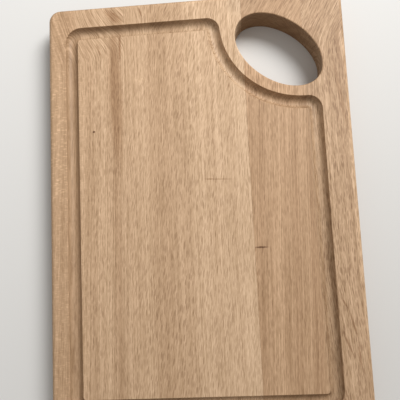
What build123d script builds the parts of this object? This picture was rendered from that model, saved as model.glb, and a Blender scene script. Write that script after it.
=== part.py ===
"""Edge-glued beech chopping board with a juice groove and an oval hand hole.

Millimetres. The board lies on its underside: X runs across the staves, Y along the
grain and Z up, with the origin at the middle of the underside. The hand hole is in the
+X +Y corner and the juice groove is cut into the top face.

A real board is machined after its staves are glued together. So one blank is made
first, and each piece is what that blank holds within its own slice of the width.
"""
from build123d import *

import os

# The board
board_width = 250.0
board_length = 350.0
board_thickness = 25.0
corner_radius = 10.0
edge_radius = 4.0

# The half-round juice groove, as deep as the radius of its cutter. The insets are from
# the board's edges to the middle of the groove.
cutter_radius = 5.3
groove_inset_left = 20.4
groove_inset_right = 27.8
groove_inset_top = 23.4
groove_inset_bottom = 19.4
groove_corner_radius = 8.0
groove_neck_radius = 5.8
groove_edge_easing = 0.3

# The arc that takes the groove round the hand hole
bow_from_right_edge = 35.2
bow_from_top_edge = 23.3
bow_radius = 73.0

# The hand hole, an oval right through the board
hole_from_right_edge = 55.0
hole_from_top_edge = 49.5
hole_half_length = 40.5
hole_half_width = 25.6
hole_turn = -39.6
hole_edge_radius = 1.0

# The glue-up: staves of one width, and what is left over along both edges
stave_width = 50.0
first_joint_from_left_edge = 66.0
glue_thickness = 0.2

# Two measures count as the same when they are this near
near = 0.01

right_edge = board_width / 2
top_edge = board_length / 2
hole_x = right_edge - hole_from_right_edge
hole_y = top_edge - hole_from_top_edge


def groove_centreline():
    """The closed line that the cutter follows: a rectangle with a bow round the hole."""
    left = groove_inset_left - right_edge
    right = right_edge - groove_inset_right
    bottom = groove_inset_bottom - top_edge
    top = top_edge - groove_inset_top
    middle = ((left + right) / 2, (bottom + top) / 2)
    loop = Pos(*middle) * Rectangle(right - left, top - bottom)
    loop -= Pos(right_edge - bow_from_right_edge, top_edge - bow_from_top_edge) * Circle(bow_radius)
    square_corners = [v for v in loop.vertices() if v.X < left + near or v.Y < bottom + near]
    loop = fillet(square_corners, groove_corner_radius)
    necks = [v for v in loop.vertices() if is_neck(v, right, top)]
    loop = fillet(necks, groove_neck_radius)
    return loop.face().outer_wire()


def is_neck(vertex, right, top):
    """Whether this is where the bow meets the top or the right run of the groove."""
    on_top_run = abs(vertex.Y - top) < near and vertex.X > 0
    on_right_run = abs(vertex.X - right) < near and vertex.Y > 0
    return on_top_run or on_right_run


def groove_tool():
    """What the cutter takes away on its way round."""
    path = Pos(0, 0, board_thickness) * groove_centreline()
    section = Plane(origin=path @ 0, z_dir=path % 0) * Circle(cutter_radius)
    return sweep(section, path=path)


def flat_edges(shape, height):
    """The edges that lie wholly at one height."""
    boxes = [(e, e.bounding_box()) for e in shape.edges()]
    return [e for e, box in boxes if abs(box.min.Z - height) < near and box.size.Z < near]


def machined_blank():
    """The whole board as it leaves the machines."""
    outline = RectangleRounded(board_width, board_length, corner_radius)
    blank = extrude(outline, board_thickness)
    outer_edges = flat_edges(blank, 0) + flat_edges(blank, board_thickness)
    blank = fillet(outer_edges, edge_radius)

    face_edges = flat_edges(blank, 0) + flat_edges(blank, board_thickness)
    oval = Pos(hole_x, hole_y) * Rot(0, 0, hole_turn) * Ellipse(hole_half_length, hole_half_width)
    blank -= extrude(oval, board_thickness)
    blank = fillet(new_edges_at(blank, (0, board_thickness), face_edges), hole_edge_radius)

    face_edges = flat_edges(blank, board_thickness)
    blank -= groove_tool()
    return fillet(new_edges_at(blank, (board_thickness,), face_edges), groove_edge_easing)


def new_edges_at(shape, heights, old_edges):
    """The flat edges at these heights that a cut has just made."""
    old_middles = [e.center() for e in old_edges]
    found = [e for height in heights for e in flat_edges(shape, height)]
    return [e for e in found if all((e.center() - middle).length > near for middle in old_middles)]


def slice_of(blank, left, right):
    """The solids of the blank between two planes across the width, lowest Y first."""
    slab = Pos((left + right) / 2, 0, board_thickness / 2) * Box(
        right - left, 2 * board_length, 2 * board_thickness)
    return (blank & slab).solids().sort_by(Axis.Y)


def write_slice(blank, name, left, right):
    """Writes a slice's main piece, and the short one that the hand hole cuts off it."""
    pieces = slice_of(blank, left, right)
    for piece, piece_name in zip(pieces, (name, name + "_above_hole")):
        export_step(piece, f"parts/{piece_name}.step")
        print(piece_name, round(piece.volume, 1), "mm3")


def main():
    os.makedirs("parts", exist_ok=True)
    blank = machined_blank()

    stave_names = ("left_edge_stave", "left_middle_stave", "right_middle_stave",
                   "hand_hole_stave", "right_edge_stave")
    glue_names = ("left_glue_line", "middle_glue_line", "right_glue_line", "edge_glue_line")

    first_joint = first_joint_from_left_edge - right_edge
    joints = [first_joint + stave_width * i for i in range(len(glue_names))]
    half_glue = glue_thickness / 2
    stave_lefts = [-board_width] + [joint + half_glue for joint in joints]
    stave_rights = [joint - half_glue for joint in joints] + [board_width]

    for name, left, right in zip(stave_names, stave_lefts, stave_rights):
        write_slice(blank, name, left, right)
    for name, joint in zip(glue_names, joints):
        write_slice(blank, name, joint - half_glue, joint + half_glue)


main()
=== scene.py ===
"""Looks for an edge-glued beech chopping board lying on a pale floor."""

from math import cos, radians, sin

import bpy
from mathutils import Matrix, Vector


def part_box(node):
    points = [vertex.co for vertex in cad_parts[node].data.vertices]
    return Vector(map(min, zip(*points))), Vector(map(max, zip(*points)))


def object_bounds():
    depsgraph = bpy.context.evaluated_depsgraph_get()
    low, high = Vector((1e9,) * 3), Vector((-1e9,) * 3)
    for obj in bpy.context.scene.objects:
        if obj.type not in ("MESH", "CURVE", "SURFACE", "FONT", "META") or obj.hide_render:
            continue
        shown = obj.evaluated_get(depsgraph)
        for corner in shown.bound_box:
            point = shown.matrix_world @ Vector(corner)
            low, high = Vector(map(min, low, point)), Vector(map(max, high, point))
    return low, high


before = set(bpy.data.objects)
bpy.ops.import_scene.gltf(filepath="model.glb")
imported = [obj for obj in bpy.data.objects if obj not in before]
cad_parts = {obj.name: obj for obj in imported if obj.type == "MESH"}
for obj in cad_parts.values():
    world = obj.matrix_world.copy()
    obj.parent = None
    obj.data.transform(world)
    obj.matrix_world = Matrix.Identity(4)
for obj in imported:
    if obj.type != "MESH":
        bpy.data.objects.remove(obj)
cad_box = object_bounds()

MM = 1000.0                     # millimetres in a metre: the materials work in millimetres
EDGE_RADIUS = 4.0               # of the board's rounded outer edges, in millimetres
board_low, board_high = (Vector(corner) for corner in cad_box)
face_height = board_high.z      # the cutting face


# ---- Wiring up materials ----------------------------------------------------------

class Bench:
    """One shader tree on the bench: adds nodes to it and joins them up."""

    def __init__(self, tree):
        self.tree = tree

    def node(self, kind, **settings):
        """A new node of this kind, with its settings."""
        new = self.tree.nodes.new(kind)
        for name, value in settings.items():
            setattr(new, name, value)
        return new

    def join(self, value, socket):
        """Feeds a socket from another one, or sets it to a plain value."""
        if isinstance(value, bpy.types.NodeSocket):
            self.tree.links.new(value, socket)
        else:
            socket.default_value = value

    def maths(self, operation, *values):
        """A sum, product or other function of one, two or three numbers."""
        new = self.node("ShaderNodeMath", operation=operation)
        for value, socket in zip(values, new.inputs):
            self.join(value, socket)
        return new.outputs[0]

    def point(self, x, y, z):
        """A vector from its three numbers."""
        new = self.node("ShaderNodeCombineXYZ")
        for value, socket in zip((x, y, z), new.inputs):
            self.join(value, socket)
        return new.outputs[0]

    def parts(self, vector):
        """The three numbers in a vector or colour."""
        new = self.node("ShaderNodeSeparateXYZ")
        self.join(vector, new.inputs[0])
        return new.outputs

    def ease(self, value, start, end):
        """0 up to start and 1 past end, smooth between; start may be the larger."""
        new = self.node("ShaderNodeMapRange", interpolation_type="SMOOTHSTEP")
        for name, number in (("Value", value), ("From Min", start), ("From Max", end)):
            self.join(number, new.inputs[name])
        return new.outputs["Result"]

    def noise(self, place, detail=0.0):
        """Soft random bumps about one unit across: one number and three."""
        new = self.node("ShaderNodeTexNoise")
        self.join(place, new.inputs["Vector"])
        new.inputs["Scale"].default_value = 1.0
        new.inputs["Detail"].default_value = detail
        return new.outputs["Fac"], new.outputs["Color"]

    def cells(self, place):
        """Random points one to a unit cell: the distance to the nearest, and its own colour."""
        new = self.node("ShaderNodeTexVoronoi")
        self.join(place, new.inputs["Vector"])
        new.inputs["Scale"].default_value = 1.0
        new.inputs["Randomness"].default_value = 1.0
        return new.outputs["Distance"], new.outputs["Color"]

    def tint(self, colour, share, by):
        """A colour multiplied by another, as far as share says."""
        new = self.node("ShaderNodeMix", data_type="RGBA", blend_type="MULTIPLY")
        factor, first, second = (new.inputs[i] for i in (0, 6, 7))
        self.join(share, factor)
        self.join(colour, first)
        self.join(by, second)
        return new.outputs[2]

    def mix(self, share, first, second):
        """A number between two others."""
        new = self.node("ShaderNodeMix", data_type="FLOAT")
        for value, index in ((share, 0), (first, 2), (second, 3)):
            self.join(value, new.inputs[index])
        return new.outputs[0]

    def group(self, name, values):
        """One of the shared groups, with its own values: its outputs."""
        new = self.node("ShaderNodeGroup", node_tree=bpy.data.node_groups[name])
        for socket_name, value in values.items():
            self.join(value, new.inputs[socket_name])
        return new.outputs

    def place_in_mm(self):
        """Where the point is on the board, in millimetres."""
        place = self.node("ShaderNodeTexCoord").outputs["Object"]
        scale = self.node("ShaderNodeVectorMath", operation="SCALE")
        self.join(place, scale.inputs[0])
        scale.inputs["Scale"].default_value = MM
        return scale.outputs[0]


def new_group(name, takes, gives):
    """An empty shader group on a bench, with its inputs, and its outputs to be fed."""
    tree = bpy.data.node_groups.new(name, "ShaderNodeTree")
    for socket_name, value in takes.items():
        kind = "NodeSocketColor" if isinstance(value, tuple) else "NodeSocketFloat"
        socket = tree.interface.new_socket(socket_name, in_out="INPUT", socket_type=kind)
        socket.default_value = value
    for socket_name in gives:
        kind = "NodeSocketColor" if socket_name == "Colour" else "NodeSocketFloat"
        tree.interface.new_socket(socket_name, in_out="OUTPUT", socket_type=kind)
    bench = Bench(tree)
    return bench, bench.node("NodeGroupInput").outputs, bench.node("NodeGroupOutput").inputs


# ---- The wood ---------------------------------------------------------------------

SWEEP_EASING = 14.0             # how gently the grain starts to sweep aside, in millimetres
DRIFT_WIDTH = 24.0              # the size of the grain's wanderings across and along the stave
DRIFT_LENGTH = 70.0
LOG_PLACES = ("Bands", "Streaks", "Ring Distance", "Around", "Along", "Flat Sawn", "End Grain",
              "Machined")


def make_log_place():
    """Group: where a point of a stave lay in the log that the stave was sawn from.

    Lengths are millimetres. Bands and Streaks are places across the stave, which its bands
    and its long streaks go by. They tilt with depth, and they follow the grain's sweep
    unless they are upright.
    """
    bench, given, gives = new_group(
        "log_place",
        {"Pith X": 0.0, "Pith Z": -60.0, "Typical Radius": 100.0, "Taper": 0.0, "Slope": 0.0,
         "Lean": 0.0, "Lean Start": 0.0, "Foot Lean": 0.0, "Foot Lean Start": 0.0,
         "Upright Bands": 0.0, "Upright Streaks": 0.0, "Depth Tilt": 0.0, "Wander": 1.0,
         "Seed": 0.0},
        LOG_PLACES)
    x, y, z = bench.parts(bench.place_in_mm())

    # The grain sweeps aside past Lean Start and below Foot Lean Start, and wanders everywhere
    past_start = bench.maths("SUBTRACT", y, given["Lean Start"])
    below_start = bench.maths("SUBTRACT", given["Foot Lean Start"], y)
    straight_x = bench.maths("SUBTRACT", x, bench.maths("MULTIPLY", y, given["Slope"]))
    for past, lean in ((past_start, given["Lean"]), (below_start, given["Foot Lean"])):
        swept = bench.maths("MULTIPLY", bench.maths("SMOOTH_MAX", past, 0.0, SWEEP_EASING), lean)
        straight_x = bench.maths("SUBTRACT", straight_x, swept)
    seeded_y = bench.maths("ADD", bench.maths("DIVIDE", y, DRIFT_LENGTH), given["Seed"])
    drift_place = bench.point(bench.maths("DIVIDE", straight_x, DRIFT_WIDTH), seeded_y,
                              bench.maths("DIVIDE", z, DRIFT_WIDTH))
    drifts = bench.parts(bench.noise(drift_place, detail=0.5)[1])
    drift_x, drift_around, drift_z = (
        bench.maths("MULTIPLY", bench.maths("SUBTRACT", drift, 0.5), given["Wander"])
        for drift in drifts)
    across = bench.maths("ADD", straight_x, drift_x)

    # Polar coordinates about the pith
    from_pith_x = bench.maths("SUBTRACT", across, given["Pith X"])
    from_pith_z = bench.maths("SUBTRACT", bench.maths("ADD", z, drift_z), given["Pith Z"])
    radius = bench.maths("SQRT", bench.maths("ADD", bench.maths("MULTIPLY", from_pith_x, from_pith_x),
                                             bench.maths("MULTIPLY", from_pith_z, from_pith_z)))
    angle = bench.maths("ARCTAN2", from_pith_x, from_pith_z)
    arc = bench.maths("MULTIPLY", angle, given["Typical Radius"])
    tapered = bench.maths("ADD", radius, bench.maths("MULTIPLY", y, given["Taper"]))
    seeded_along = bench.maths("ADD", y, bench.maths("MULTIPLY", given["Seed"], 37.0))
    bench.join(tapered, gives["Ring Distance"])
    bench.join(bench.maths("ADD", arc, bench.maths("MULTIPLY", drift_around, 0.6)), gives["Around"])
    bench.join(seeded_along, gives["Along"])

    # How squarely the surface faces the pith, and how far it faces along the board: the end grain at
    # the board's ends, and also sloping groove walls and rounded edges, where its darkening is painted
    # shade
    facing = bench.node("ShaderNodeTexCoord").outputs["Normal"]
    face_x, face_y, face_z = bench.parts(facing)
    towards_pith = bench.maths("ADD", bench.maths("MULTIPLY", face_x, from_pith_x),
                               bench.maths("MULTIPLY", face_z, from_pith_z))
    squareness = bench.maths("ABSOLUTE", bench.maths("DIVIDE", towards_pith, radius))
    bench.join(squareness, gives["Flat Sawn"])
    bench.join(bench.ease(bench.maths("ABSOLUTE", face_y), 0.15, 0.9), gives["End Grain"])

    # Where its bands and streaks go by
    above_face = bench.maths("SUBTRACT", z, face_height * MM)
    tilted = bench.maths("MULTIPLY", above_face, given["Depth Tilt"])
    upright = bench.maths("ADD", x, drift_x)
    for name in ("Bands", "Streaks"):
        placed = bench.mix(given["Upright " + name], across, upright)
        bench.join(bench.maths("ADD", placed, tilted), gives[name])

    # The juice groove and the hand hole's wall: between the two faces, inside the edges. Their
    # darkening is partly the cut wood's own tone and partly painted shade in these recesses
    machined_and_shaded = bench.maths("MULTIPLY", bench.ease(above_face, -0.2, -1.2), bench.ease(z, 0.2, 1.2))
    for from_middle, half_size in ((x, board_high.x * MM), (y, board_high.y * MM)):
        inside = bench.ease(bench.maths("ABSOLUTE", from_middle),
                            half_size - EDGE_RADIUS, half_size - 1.5 * EDGE_RADIUS)
        machined_and_shaded = bench.maths("MULTIPLY", machined_and_shaded, inside)
    bench.join(machined_and_shaded, gives["Machined"])


# Colours that the wood's own colour is multiplied by
LATE_WOOD = (0.62, 0.54, 0.46, 1)
RAY_ENDS = (0.43, 0.34, 0.27, 1)
RAY_FLAKES = (1.38, 1.42, 1.46, 1)
# Darker end grain, and painted shade on groove walls and rounded edges that face along the board
END_GRAIN_AND_SHADE = (0.80, 0.78, 0.76, 1)
# The cut wood's darker tone, and painted shade in the juice groove and the hand hole
MACHINED_AND_SHADED = (0.87, 0.88, 0.88, 1)

DASH_SHARE = 0.7                # how much of its cell's width and length a dash fills
DASH_DEPTH = 18.0               # how far a ray end lasts into the wood, in millimetres
DASH_FADE = (0.46, 0.30)        # how far out it starts and how far out it is full, in cells
FLAKE_LENGTH = 3.4              # the size of a flake, in millimetres
FLAKE_WIDTH = 1.25
FLAKE_FADE = (0.6, 0.25)        # as for a dash

PATCH_STRENGTH = 0.16           # how much the wood's tone swings
FIBRE_STRENGTH = 0.55
WOOD_ROUGHNESS = 0.56


def make_beech():
    """Group: beech on a ground colour, with its growth rings, fibres and rays.

    Rays are thin plates that point at the pith. They show as short dark dashes where
    the board is flat sawn, and as paler flakes across the grain where it is quartered.
    """
    bench, given, gives = new_group(
        "beech",
        {"Ground": (0.5, 0.35, 0.2, 1.0), "Streaks": 0.0, "Ring Distance": 0.0, "Around": 0.0,
         "Along": 0.0, "Flat Sawn": 1.0, "End Grain": 0.0, "Machined": 0.0, "Ring Spacing": 3.0,
         "Ring Strength": 0.5, "Streak Strength": 0.75, "Ripple Strength": 0.45, "Dash Width": 0.6,
         "Dash Length": 4.5, "Dash Strength": 0.7, "Flakes": 0.0, "Seed": 0.0},
        ("Colour", "Roughness", "Height"))
    ring, around, along = given["Ring Distance"], given["Around"], given["Along"]

    def grained(across_size, along_size, depth_size, shift):
        """The place in the log, in units of a feature's size: across, along and outwards.

        The shift keeps one feature's pattern apart from another's.
        """
        shifted = bench.maths("ADD", bench.maths("DIVIDE", around, across_size), shift)
        return bench.point(shifted, bench.maths("DIVIDE", along, along_size),
                           bench.maths("DIVIDE", ring, depth_size))

    # Growth rings: each darkens slowly outwards to its late wood, then starts pale again
    uneven = bench.noise(bench.point(bench.maths("DIVIDE", ring, 7.0), given["Seed"], 0.0))[0]
    ring_count = bench.maths("DIVIDE", bench.maths("ADD", ring, bench.maths("MULTIPLY", uneven, 5.0)),
                             given["Ring Spacing"])
    through_ring = bench.maths("FRACT", ring_count)
    late_wood = bench.maths("MULTIPLY", bench.maths("POWER", through_ring, 3.0),
                            bench.ease(through_ring, 1.0, 0.93))
    own_strength = bench.node("ShaderNodeTexWhiteNoise", noise_dimensions="1D")
    bench.join(bench.maths("FLOOR", ring_count), own_strength.inputs["W"])
    ring_share = bench.maths("MULTIPLY", late_wood, own_strength.outputs["Value"])
    ring_share = bench.maths("MULTIPLY", ring_share, given["Ring Strength"])
    ring_share = bench.maths("MULTIPLY", ring_share, bench.mix(given["End Grain"], 1.0, 1.6))
    colour = bench.tint(given["Ground"], ring_share, LATE_WOOD)

    # Flakes show where a stave is quartered, but not on end grain or where a cutter has been
    flakes = bench.maths("MAXIMUM", given["Flakes"], bench.ease(given["Flat Sawn"], 0.42, 0.12))
    for surface in ("End Grain", "Machined"):
        flakes = bench.maths("MULTIPLY", flakes, bench.maths("SUBTRACT", 1.0, given[surface]))

    # Cloudy patches, long streaks, thin ripples and fine fibres, paler and darker by turns
    streak_place = bench.point(bench.maths("DIVIDE", given["Streaks"], 0.9),
                               bench.maths("DIVIDE", along, 160.0), given["Seed"])
    patches = bench.noise(grained(14.0, 60.0, 14.0, 3.0), detail=1.0)[0]
    streaks = bench.noise(streak_place, detail=1.0)[0]
    ripples = bench.noise(grained(0.55, 12.0, 1.6, 31.0))[0]
    fibres = bench.noise(grained(0.3, 4.5, 0.5, 23.0), detail=1.0)[0]
    tone = 0.0
    for pattern, strength in ((patches, PATCH_STRENGTH), (streaks, given["Streak Strength"]),
                              (ripples, given["Ripple Strength"]), (fibres, FIBRE_STRENGTH)):
        swing = bench.maths("MULTIPLY", bench.maths("SUBTRACT", pattern, 0.5), strength)
        tone = bench.maths("ADD", tone, swing)
    tone = bench.maths("MULTIPLY", tone, bench.mix(flakes, 1.0, 0.7))
    shade = bench.point(*(bench.maths("ADD", 1.0, bench.maths("MULTIPLY", tone, deepening))
                          for deepening in (1.0, 1.15, 1.4)))
    colour = bench.tint(colour, 1.0, shade)

    # Ray ends: long dashes, and shorter finer ones between them
    cell_width = bench.maths("DIVIDE", given["Dash Width"], DASH_SHARE)
    cell_length = bench.maths("DIVIDE", given["Dash Length"], DASH_SHARE)
    ray_mask = 0.0
    for size, strength, shift in ((1.0, 1.0, 0.0), (0.6, 0.4, 40.0)):
        near, own = bench.cells(grained(bench.maths("MULTIPLY", cell_width, size),
                                        bench.maths("MULTIPLY", cell_length, size),
                                        DASH_DEPTH * size, shift))
        own_share = bench.mix(bench.parts(own)[0], 0.45 * strength, strength)
        dash = bench.maths("MULTIPLY", bench.ease(near, *DASH_FADE), own_share)
        ray_mask = bench.maths("MAXIMUM", ray_mask, dash)
    flakeless = bench.maths("SUBTRACT", 1.0, bench.maths("MAXIMUM", flakes, given["Flakes"]))
    dashes = bench.maths("MULTIPLY", bench.maths("MULTIPLY", ray_mask, given["Dash Strength"]),
                         flakeless)
    colour = bench.tint(colour, dashes, RAY_ENDS)

    # Flakes lie across the grain, so their long way is the ring distance
    flake_place = bench.point(bench.maths("DIVIDE", ring, FLAKE_LENGTH),
                              bench.maths("DIVIDE", along, FLAKE_WIDTH),
                              bench.maths("DIVIDE", around, FLAKE_LENGTH))
    near, own = bench.cells(flake_place)
    flake_share = bench.maths("MULTIPLY", bench.ease(near, *FLAKE_FADE), bench.parts(own)[1])
    flake_share = bench.maths("MULTIPLY", flake_share, flakes)
    colour = bench.tint(colour, flake_share, RAY_FLAKES)

    # End grain is darker; on groove walls and rounded edges this darkening is painted shade
    colour = bench.tint(colour, given["End Grain"], END_GRAIN_AND_SHADE)
    # Cut wood is darker, and the groove and hand hole get painted shade
    colour = bench.tint(colour, given["Machined"], MACHINED_AND_SHADED)
    bench.join(colour, gives["Colour"])

    # Flakes are denser and polish better than the wood around them, and end grain worse
    fibre_swing = bench.maths("SUBTRACT", fibres, 0.5)
    rough = bench.maths("ADD", WOOD_ROUGHNESS, bench.maths("MULTIPLY", fibre_swing, 0.22))
    rough = bench.maths("SUBTRACT", rough, bench.maths("MULTIPLY", flake_share, 0.12))
    rough = bench.maths("ADD", rough, bench.maths("MULTIPLY", given["End Grain"], 0.16))
    bench.join(rough, gives["Roughness"])
    bench.join(bench.maths("SUBTRACT", fibres, dashes), gives["Height"])


def make_blemish_and_shade():
    """Group: a soft-edged spot or streak in the cutting face, in millimetres and degrees.

    Core is the share of its size that has its full strength, and Ragged how uneven it is.
    """
    bench, given, gives = new_group(
        "blemish", {"X": 0.0, "Y": 0.0, "Half Length": 1.0, "Half Width": 1.0, "Turn": 0.0,
                    "Core": 0.4, "Ragged": 0.2}, ("Mask",))
    x, y, z = bench.parts(bench.place_in_mm())
    above_face = bench.maths("SUBTRACT", z, face_height * MM)
    away = bench.point(bench.maths("SUBTRACT", x, given["X"]), bench.maths("SUBTRACT", y, given["Y"]),
                       bench.maths("MULTIPLY", above_face, 0.4))
    turn = bench.node("ShaderNodeVectorRotate", rotation_type="Z_AXIS")
    bench.join(away, turn.inputs["Vector"])
    back_turn = bench.maths("RADIANS", bench.maths("MULTIPLY", given["Turn"], -1.0))
    bench.join(back_turn, turn.inputs["Angle"])
    lengthwise, widthwise, deep = bench.parts(turn.outputs[0])
    scaled = bench.point(bench.maths("DIVIDE", lengthwise, given["Half Length"]),
                         bench.maths("DIVIDE", widthwise, given["Half Width"]),
                         bench.maths("DIVIDE", deep, given["Half Width"]))
    length = bench.node("ShaderNodeVectorMath", operation="LENGTH")
    bench.join(scaled, length.inputs[0])
    nibble_place = bench.point(bench.maths("DIVIDE", x, 0.8), bench.maths("DIVIDE", y, 2.0), z)
    nibbles = bench.maths("SUBTRACT", bench.noise(nibble_place, detail=2.0)[0], 0.5)
    rough_edge = bench.maths("MULTIPLY", nibbles, given["Ragged"])
    from_middle = bench.maths("ADD", length.outputs["Value"], rough_edge)
    bench.join(bench.ease(from_middle, 1.0, given["Core"]), gives["Mask"])


def satin_wood(bench, colour, roughness, height):
    """The finish that every wooden surface shares: sanded, lightly oiled, dull satin."""
    shader = bench.tree.nodes["Principled BSDF"]
    bench.join(colour, shader.inputs["Base Color"])
    bench.join(roughness, shader.inputs["Roughness"])
    shader.inputs["Specular IOR Level"].default_value = 0.35
    bump = bench.node("ShaderNodeBump")
    bump.inputs["Strength"].default_value = 0.35
    bump.inputs["Distance"].default_value = 0.00006
    bench.join(height, bump.inputs["Height"])
    bench.join(bump.outputs["Normal"], shader.inputs["Normal"])


def new_material(name):
    """A material, and its shader tree on a bench."""
    material = bpy.data.materials.new(name)
    material.use_nodes = True
    return material, Bench(material.node_tree)


def banded_ground(bench, across, stave_box, pale, deep, bands):
    """The ground colour: bands of early and late growth across the stave's width.

    A band is how far across the stave it is, from 0 to 1, and its tone, from 0 for deep
    to 1 for pale; a tone past 1 is a painted highlight. Past the stave's edges, as at its underside,
    the bands run back again.
    """
    left, right = (corner[0] * MM for corner in stave_box)
    from_left = bench.maths("DIVIDE", bench.maths("SUBTRACT", across, left), right - left)
    share = bench.maths("PINGPONG", from_left, 1.0)
    ramp = bench.node("ShaderNodeValToRGB")
    bench.join(share, ramp.inputs[0])
    stops = ramp.color_ramp.elements
    while len(stops) < len(bands):
        stops.new(0.5)
    for stop, (place, tone) in zip(stops, bands):
        stop.position = place
        stop.color = [d + (p - d) * tone for p, d in zip(pale, deep)] + [1]
    return ramp.outputs["Color"]


def swirl(bench, x_range, lean, start):
    """A lean that changes across the stave, from its first value to its second."""
    x = bench.parts(bench.place_in_mm())[0]
    share = bench.ease(x, *x_range)
    return {"Lean": bench.mix(share, *lean), "Lean Start": bench.mix(share, *start)}


def growing(bench, strengths):
    """Figure that grows along the stave: over a range of Y, from one strength to another."""
    y = bench.parts(bench.place_in_mm())[1]
    return {name: bench.mix(bench.ease(y, *y_range), *strength)
            for name, (y_range, strength) in strengths.items()}


def flaky_zone(bench, x_range, y_low, y_high, elsewhere):
    """1 where the stave shows its rays as flakes: to one side, and between two heights.

    Above and below it that side is only as flaky as elsewhere says.
    """
    x, y, _ = bench.parts(bench.place_in_mm())
    between = bench.maths("MULTIPLY", bench.ease(y, *y_low), bench.ease(y, *y_high))
    flaky = bench.mix(between, elsewhere, 1.0)
    return {"Flakes": bench.maths("MULTIPLY", bench.ease(x, *x_range), flaky)}


def beech_stave(slot, node_name, log, figure, pale, deep, bands, seed, swirls=None, grows=None,
                flaky=None, marks=()):
    """A stave's material.

    Log and figure are values for the groups log_place and beech. Swirls, grows and flaky
    are for the three functions above, and marks come from the one below.
    """
    material, bench = new_material(slot)
    leans = swirl(bench, **swirls) if swirls else {}
    place = bench.group("log_place", {**log, **leans, "Seed": seed})
    ground = banded_ground(bench, place["Bands"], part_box(node_name), pale, deep, bands)
    same = {name: place[name] for name in LOG_PLACES if name != "Bands"}
    flakes = flaky_zone(bench, **flaky) if flaky else {}
    grown = growing(bench, grows) if grows else {}
    wood = bench.group("beech", {**same, **figure, **flakes, **grown, "Ground": ground, "Seed": seed})
    colour = wood["Colour"]
    # Blemishes, and a few patches of painted shade
    for mark_colour, mark in marks:
        colour = bench.tint(colour, bench.group("blemish", mark)["Mask"], mark_colour)
    satin_wood(bench, colour, wood["Roughness"], wood["Height"])
    return material


def mark(colour, at, reach, turn=0.0, core=0.4, ragged=0.2):
    """A mark (blemishes, and a few patches of painted shade): the colour that it multiplies by, its
    middle, and its half length and width.
    """
    blemish = {"X": at[0], "Y": at[1], "Half Length": reach[0], "Half Width": reach[1],
               "Turn": turn, "Core": core, "Ragged": ragged}
    return (*colour, 1), blemish


def plain_colour(luminance, warmth=1.0):
    """Beech of this luminance: a warm, slightly pink buff, and warmer where it is deeper."""
    warmth *= (0.40 / luminance) ** 0.2
    return [luminance * share for share in (1.397 * warmth, 0.927, 0.560 / warmth)]


make_log_place()
make_beech()
make_blemish_and_shade()

# The marks of each stave, blemishes and a few patches of painted shade, in millimetres and degrees on
# the board
LEFT_EDGE_MARKS = (
    # A pin knot
    mark((0.30, 0.22, 0.17), at=(-86.6, 64.7), reach=(1.5, 1.3)),
    # Darker growth beside the joint
    mark((0.79, 0.73, 0.67), at=(-67.2, 95.0), reach=(78.0, 7.0), turn=91.0, core=0.45, ragged=0.6),
    mark((0.80, 0.74, 0.68), at=(-68.0, 164.5), reach=(13.0, 5.0), turn=-44.0, ragged=0.6),
    mark((0.62, 0.53, 0.45), at=(-62.9, 138.0), reach=(19.0, 1.5), turn=89.0, core=0.3, ragged=0.4),
    # Flame lines at the top end
    mark((0.68, 0.60, 0.52), at=(-65.4, 165.2), reach=(10.5, 0.8), turn=-47.0, core=0.2, ragged=0.6),
    mark((0.72, 0.64, 0.57), at=(-69.3, 163.6), reach=(8.5, 0.7), turn=-48.0, core=0.2, ragged=0.6),
    mark((0.70, 0.62, 0.55), at=(-62.0, 167.0), reach=(7.0, 0.7), turn=-52.0, core=0.2, ragged=0.6),
    mark((0.74, 0.66, 0.59), at=(-80.6, 134.5), reach=(9.0, 0.7), turn=-66.0, core=0.2, ragged=0.8),
)
LEFT_MIDDLE_MARKS = (
    # A dark streak at the top end
    mark((0.52, 0.43, 0.35), at=(-44.4, 166.7), reach=(7.0, 1.0), turn=106.0, core=0.3, ragged=0.5),
    # A pale fleck
    mark((1.16, 1.18, 1.20), at=(-46.0, 106.5), reach=(5.0, 5.0), core=0.2, ragged=2.4),
)
RIGHT_MIDDLE_MARKS = (
    # A thin dark line across the grain
    mark((0.72, 0.66, 0.60), at=(16.3, 19.0), reach=(15.0, 0.7), turn=-3.1, core=0.2, ragged=0.5),
    mark((0.68, 0.60, 0.52), at=(8.0, 19.5), reach=(5.0, 0.8), turn=-3.1, core=0.2, ragged=0.5),
    # Two short dark flecks
    mark((0.66, 0.58, 0.50), at=(27.7, 97.0), reach=(3.4, 0.75), turn=84.0, core=0.3, ragged=0.5),
    mark((0.68, 0.60, 0.52), at=(30.8, 106.0), reach=(2.2, 1.2), turn=115.0, core=0.3, ragged=1.0),
    # Painted shade at the top end
    mark((0.88, 0.88, 0.88), at=(40.0, 168.0), reach=(18.0, 14.0), core=0.2),
)
HAND_HOLE_MARKS = (
    # Painted shade at the top end, and paler round the hand hole
    mark((0.88, 0.88, 0.88), at=(46.0, 168.0), reach=(18.0, 14.0), core=0.2),
    mark((1.12, 1.12, 1.12), at=(58.0, 97.0), reach=(40.0, 19.0), turn=-36.0, core=0.5),
    # A short dark streak beside the groove
    mark((0.72, 0.64, 0.57), at=(44.0, 92.0), reach=(4.6, 1.3), turn=-34.0, core=0.2, ragged=2.0),
    # A dark fleck across the grain, and two short lines beside the joint
    mark((0.36, 0.28, 0.22), at=(46.2, -37.4), reach=(7.2, 1.1), turn=-1.0, core=0.3, ragged=0.5),
    mark((0.62, 0.54, 0.46), at=(41.8, -39.0), reach=(2.6, 0.5), turn=90.0, core=0.3),
    mark((0.70, 0.62, 0.55), at=(41.8, -58.0), reach=(2.4, 0.45), turn=90.0, core=0.3),
)
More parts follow.
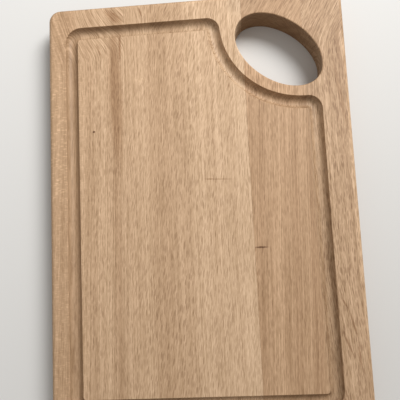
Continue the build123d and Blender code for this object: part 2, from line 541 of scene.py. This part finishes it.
RIGHT_EDGE_MARKS = (
    # Darker growth near the edge
    mark((0.84, 0.79, 0.74), at=(117.5, 82.0), reach=(42.0, 2.4), turn=97.0, core=0.3, ragged=1.0),
    # Flame lines towards the bottom end
    mark((0.62, 0.54, 0.46), at=(107.8, -83.5), reach=(8.0, 1.1), turn=-63.0, core=0.2, ragged=0.8),
    mark((0.62, 0.54, 0.46), at=(113.2, -100.0), reach=(14.0, 1.3), turn=-77.0, core=0.2, ragged=0.8),
    mark((0.68, 0.60, 0.53), at=(116.0, -124.0), reach=(14.0, 1.2), turn=-88.0, core=0.2, ragged=0.8),
    mark((0.68, 0.60, 0.53), at=(108.0, -114.0), reach=(14.0, 1.2), turn=-70.0, core=0.2, ragged=0.8),
)

# Each stave: where it lay in its log, its figure, its blemishes, and its bands from left to
# right. Lengths are millimetres, with X and Y as on the board.
STAVES = {
    "left_edge_stave": dict(
        slot="beech_left_edge",
        log={"Pith X": -5.0, "Pith Z": -45.0, "Typical Radius": 105.0, "Slope": 0.03,
             "Upright Bands": 1.0, "Depth Tilt": 0.8, "Wander": 2.0},
        swirls=dict(x_range=(-112.0, -62.0), lean=(-0.36, -0.85), start=(124.0, 138.0)),
        grows={"Streak Strength": ((112.0, 146.0), (0.65, 1.15))},
        flaky=dict(x_range=(-84.0, -110.0), y_low=(-12.0, 20.0), y_high=(124.0, 104.0), elsewhere=0.55),
        figure={"Ring Spacing": 2.6, "Ring Strength": 0.32, "Ripple Strength": 0.38,
                "Dash Width": 0.54, "Dash Length": 5.0, "Dash Strength": 0.5},
        marks=LEFT_EDGE_MARKS,
        pale=plain_colour(0.46), deep=plain_colour(0.305),
        bands=((0.00, 0.16), (0.12, 0.14), (0.19, 0.10), (0.25, 0.00), (0.32, 0.05), (0.42, 0.50),
               (0.48, 0.40), (0.575, 0.38), (0.605, 0.66), (0.66, 0.52), (0.71, 0.82), (0.755, 0.55),
               (0.81, 0.38), (0.85, 0.12), (0.88, 0.16), (0.92, 0.50), (0.98, 0.62)),
        seed=1.3),
    "left_middle_stave": dict(
        slot="beech_left_middle",
        log={"Pith X": -100.0, "Pith Z": -60.0, "Typical Radius": 110.0, "Slope": 0.13,
             "Upright Bands": 1.0, "Upright Streaks": 1.0, "Depth Tilt": 1.3, "Wander": 1.4},
        figure={"Ring Spacing": 3.2, "Ring Strength": 0.15, "Streak Strength": 0.65,
                "Ripple Strength": 0.36, "Dash Width": 0.62, "Dash Length": 5.6, "Dash Strength": 0.54},
        swirls=dict(x_range=(-58.0, -12.0), lean=(-0.30, 0.14), start=(145.0, 118.0)),
        marks=LEFT_MIDDLE_MARKS,
        pale=plain_colour(0.45), deep=plain_colour(0.335),
        bands=((0.02, 0.50), (0.10, 0.62), (0.18, 0.55), (0.28, 0.82), (0.34, 0.60), (0.40, 0.36),
               (0.44, 0.20), (0.48, 0.35), (0.53, 0.12), (0.60, 0.30), (0.64, 0.12), (0.70, 0.32),
               (0.78, 0.38), (0.84, 0.52), (0.90, 0.40), (0.98, 0.46)),
        seed=4.1),
    "right_middle_stave": dict(
        slot="beech_right_middle",
        log={"Pith X": 75.0, "Pith Z": -70.0, "Typical Radius": 115.0, "Slope": 0.10,
             "Lean": 0.10, "Lean Start": 60.0, "Upright Bands": 1.0, "Upright Streaks": 1.0,
             "Depth Tilt": -1.3, "Wander": 1.4},
        figure={"Ring Spacing": 3.4, "Ring Strength": 0.12, "Streak Strength": 0.55,
                "Ripple Strength": 0.36, "Dash Width": 0.62, "Dash Length": 5.6, "Dash Strength": 0.54},
        marks=RIGHT_MIDDLE_MARKS,
        pale=plain_colour(0.497), deep=plain_colour(0.403),
        bands=((0.01, 0.00), (0.08, 0.50), (0.12, 0.40), (0.18, 0.50), (0.24, 0.58), (0.30, 0.38),
               (0.36, 0.44), (0.44, 0.20), (0.48, 0.50), (0.54, 0.58), (0.62, 0.60), (0.72, 0.42),
               (0.76, 0.36), (0.80, 0.85), (0.84, 0.60), (0.88, 0.87), (0.96, 0.78)),
        seed=7.7),
    "hand_hole_stave": dict(
        slot="beech_hand_hole",
        log={"Pith X": 150.0, "Pith Z": -45.0, "Typical Radius": 115.0, "Slope": 0.05,
             "Lean": 0.5, "Lean Start": 132.0, "Depth Tilt": -1.0, "Wander": 1.8},
        figure={"Ring Spacing": 2.9, "Ring Strength": 0.27, "Streak Strength": 0.75,
                "Ripple Strength": 0.30, "Dash Width": 0.58, "Dash Length": 5.6},
        grows={"Dash Strength": ((70.0, 92.0), (0.36, 0.60))},
        marks=HAND_HOLE_MARKS,
        pale=plain_colour(0.38, warmth=1.02), deep=plain_colour(0.28, warmth=1.02),
        bands=((0.02, 0.42), (0.08, 0.46), (0.16, 0.22), (0.20, 0.32), (0.24, 0.58), (0.32, 0.56),
               (0.40, 0.80), (0.44, 0.86), (0.48, 0.60), (0.56, 0.54), (0.64, 0.58), (0.68, 0.25),
               (0.72, 0.20), (0.76, 0.55), (0.84, 0.74), (0.88, 0.76), (0.92, 0.36), (0.96, 0.10),
               (1.00, 0.25)),
        seed=12.9),
    "right_edge_stave": dict(
        slot="beech_right_edge",
        log={"Pith X": 92.0, "Pith Z": -70.0, "Typical Radius": 96.0, "Taper": 0.034,
             "Lean": 0.5, "Lean Start": 128.0, "Foot Lean": 0.06, "Foot Lean Start": -60.0,
             "Depth Tilt": -1.6, "Wander": 2.4},
        figure={"Ring Spacing": 2.4, "Ring Strength": 0.8, "Ripple Strength": 0.52,
                "Dash Width": 0.62, "Dash Length": 5.2, "Dash Strength": 0.72},
        marks=RIGHT_EDGE_MARKS,
        pale=plain_colour(0.405), deep=plain_colour(0.30),
        # The last bands, paler than pale, are a painted highlight on the rounded right edge
        bands=((0.02, 0.20), (0.12, 0.30), (0.36, 0.80), (0.46, 0.83), (0.54, 0.60), (0.60, 0.73),
               (0.66, 0.68), (0.74, 0.60), (0.80, 0.52), (0.87, 0.62), (0.91, 1.50), (1.00, 1.50)),
        seed=20.3),
}


def make_glue():
    """Cured wood glue, sanded flush: brown, and blotchy along the joint."""
    material, bench = new_material("wood_glue")
    shader = bench.tree.nodes["Principled BSDF"]
    x, y, z = bench.parts(bench.place_in_mm())
    blotch_place = bench.point(x, bench.maths("DIVIDE", y, 6.0), bench.maths("DIVIDE", z, 3.0))
    blotches = bench.ease(bench.noise(blotch_place, detail=2.0)[0], 0.35, 0.65)
    colour = bench.tint((0.47, 0.31, 0.18, 1), blotches, (0.72, 0.66, 0.60, 1))
    bench.join(colour, shader.inputs["Base Color"])
    shader.inputs["Roughness"].default_value = 0.45
    return material


materials = {name: beech_stave(node_name=name, **stave) for name, stave in STAVES.items()}
glue = make_glue()
for name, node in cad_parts.items():
    stave_name = name.replace("_above_hole", "")
    node.material_slots[0].material = materials.get(stave_name, glue)


# ---- Camera, floor and light -------------------------------------------------------

# Camera: aimed at a point near the middle of the cutting face, nearly straight down
AIM = Vector((-0.0006, 0.0028, face_height))
CAMERA_DISTANCE = 0.3877
CAMERA_AZIMUTH = 28.8       # round from -Y towards +X
CAMERA_ELEVATION = 82.2
CAMERA_ROLL = 2.65          # how far the camera's up leans to the right of +Y
LENS = 43.2
SENSOR = 36.0


def add_camera():
    """The camera, rolled about its line of sight from where +Y would be straight up."""
    azimuth, elevation = radians(CAMERA_AZIMUTH), radians(CAMERA_ELEVATION)
    back = Vector((sin(azimuth) * cos(elevation), -cos(azimuth) * cos(elevation), sin(elevation)))
    right = Vector((0, 1, 0)).cross(back).normalized()
    up = back.cross(right)
    upright = Matrix((right, up, back)).transposed().to_4x4()
    turn = Matrix.Rotation(radians(-CAMERA_ROLL), 4, "Z")
    data = bpy.data.cameras.new("camera")
    data.lens = LENS
    data.sensor_width = SENSOR
    camera = bpy.data.objects.new("camera", data)
    camera.matrix_world = Matrix.Translation(AIM + back * CAMERA_DISTANCE) @ upright @ turn
    bpy.context.scene.collection.objects.link(camera)
    bpy.context.scene.camera = camera


def add_window(place, size, power, target, spread):
    """A soft round lamp that stands in for a window, aimed at a target."""
    data = bpy.data.lights.new("window", "AREA")
    data.shape = "DISK"
    data.size = size
    data.energy = power
    data.spread = radians(spread)
    lamp = bpy.data.objects.new("window", data)
    lamp.location = place
    lamp.rotation_euler = (Vector(target) - Vector(place)).to_track_quat("-Z", "Y").to_euler()
    bpy.context.scene.collection.objects.link(lamp)


def add_floor():
    """A pale floor that throws little light back up at the board."""
    bpy.ops.object.select_all(action="DESELECT")
    bpy.ops.mesh.primitive_plane_add(size=6.0, location=(0, 0, board_low.z))
    floor = bpy.context.object
    floor.name = "floor"
    material, bench = new_material("pale_floor")
    shader = bench.tree.nodes["Principled BSDF"]
    ray = bench.node("ShaderNodeLightPath").outputs
    seen = bench.maths("MAXIMUM", ray["Is Camera Ray"],
                       bench.maths("MAXIMUM", ray["Is Glossy Ray"], ray["Is Transmission Ray"]))
    colour = bench.node("ShaderNodeMix", data_type="RGBA")
    bench.join(seen, colour.inputs[0])
    thrown_back, looked_at = colour.inputs[6], colour.inputs[7]
    thrown_back.default_value = (0.16, 0.15, 0.14, 1)
    looked_at.default_value = (0.70, 0.69, 0.67, 1)
    bench.join(colour.outputs[2], shader.inputs["Base Color"])
    shader.inputs["Roughness"].default_value = 0.9
    floor.data.materials.append(material)


def set_world():
    """Even light from all round."""
    world = bpy.data.worlds.new("studio")
    bpy.context.scene.world = world
    world.use_nodes = True
    background = world.node_tree.nodes["Background"]
    background.inputs["Color"].default_value = (1.0, 0.98, 0.95, 1)
    background.inputs["Strength"].default_value = 0.425


add_camera()
add_floor()
set_world()
add_window(place=(0.80, 0.95, 1.20), size=0.9, power=6.15, target=(-0.10, 0.40, 0.0), spread=70.0)
bpy.context.scene.view_settings.view_transform = "Standard"
